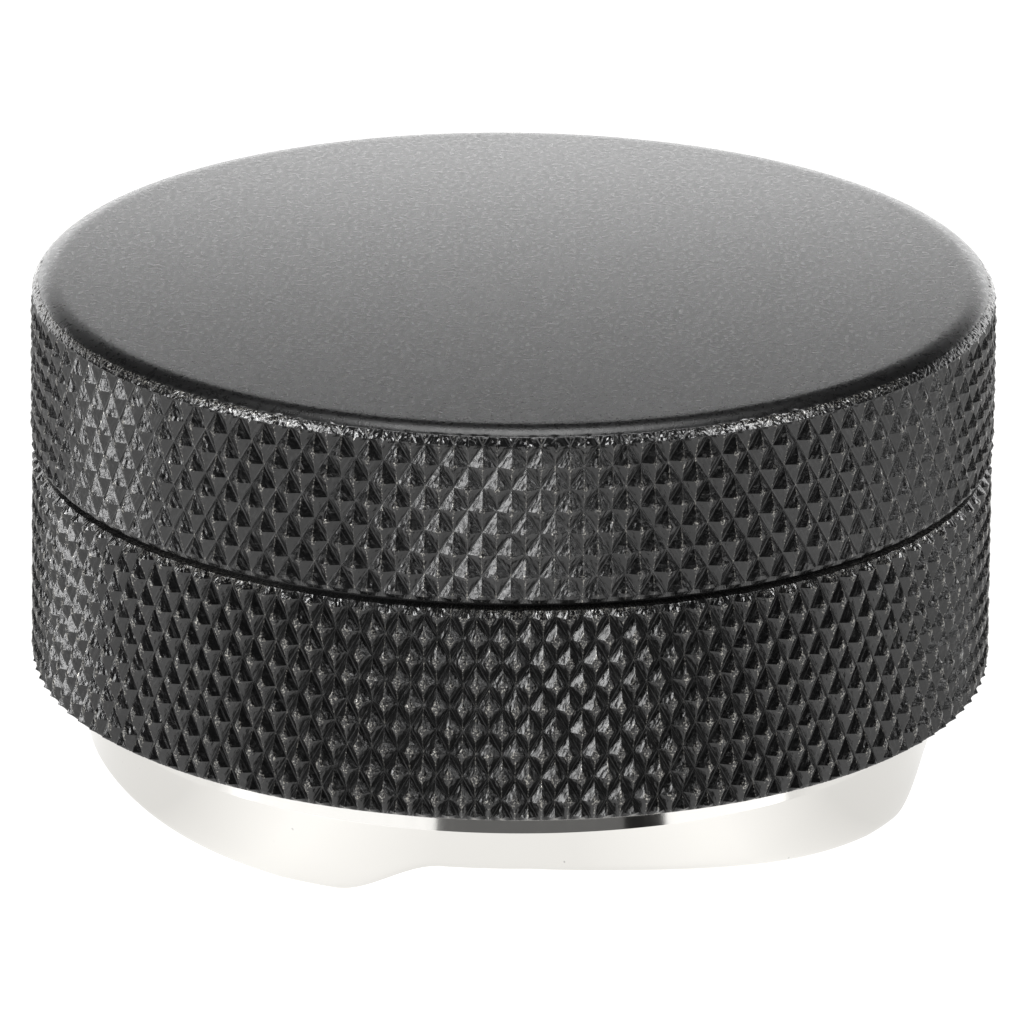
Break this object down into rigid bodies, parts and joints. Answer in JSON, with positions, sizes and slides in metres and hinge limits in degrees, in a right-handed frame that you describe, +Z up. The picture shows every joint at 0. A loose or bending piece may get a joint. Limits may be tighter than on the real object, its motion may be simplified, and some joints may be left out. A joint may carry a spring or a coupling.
{
  "type": "adjustable espresso distributor",
  "caption": "Palm-grip coffee leveller: knurled black cap and depth collar on a threaded stem over a polished steel base with sloped blades.",
  "frame": {"origin": "on the axis at the level of the blade ridges, which is the object's lowest point", "axes": "+Z up along the common axis of base, collar and cap, towards the palm face; X and Y are free, the blade valleys start 3 degrees past +X and +Y"},
  "size_m": [0.0662, 0.0662, 0.035],
  "materials": {
    "cap_anodised": "black anodised, bead-blasted satin",
    "collar_anodised": "black anodised, knurled",
    "washer_nylon": "black nylon",
    "o_ring_rubber": "black rubber",
    "stem_steel": "turned stainless steel",
    "base_polished": "mirror-polished stainless steel",
    "screw_steel": "black oxide socket screws"
  },
  "bodies": {
    "base": {"distributor_base": "base_polished", "threaded_stem": "stem_steel", "base_screws": "screw_steel"},
    "collar_slider": {"collar_o_ring": "o_ring_rubber"},
    "collar": {"depth_collar": "collar_anodised"},
    "cap_slider": {"lock_washer": "washer_nylon"},
    "cap": {"palm_cap": "cap_anodised"}
  },
  "joints": [
    {"name": "collar_travel", "type": "slide", "parent": "base", "child": "collar_slider", "axis": [0, 0, 1], "range_m": [-0.00276, 0.00376]},
    {"name": "collar_turn", "type": "hinge", "parent": "collar_slider", "child": "collar", "pos_m": [0, 0, 0.0105], "axis": [0, 0, 1], "range_deg": [-660, 900]},
    {"name": "cap_travel", "type": "slide", "parent": "collar", "child": "cap_slider", "axis": [0, 0, 1], "range_m": [0, 0.00151]},
    {"name": "cap_turn", "type": "hinge", "parent": "cap_slider", "child": "cap", "pos_m": [0, 0, 0.0228], "axis": [0, 0, 1], "range_deg": [0, 360]}
  ],
  "couplings": [
    {"joint": "collar_travel", "follows": "collar_turn", "m_per_rad": 0.00023873},
    {"joint": "cap_travel", "follows": "cap_turn", "m_per_rad": 0.00023873}
  ]
}
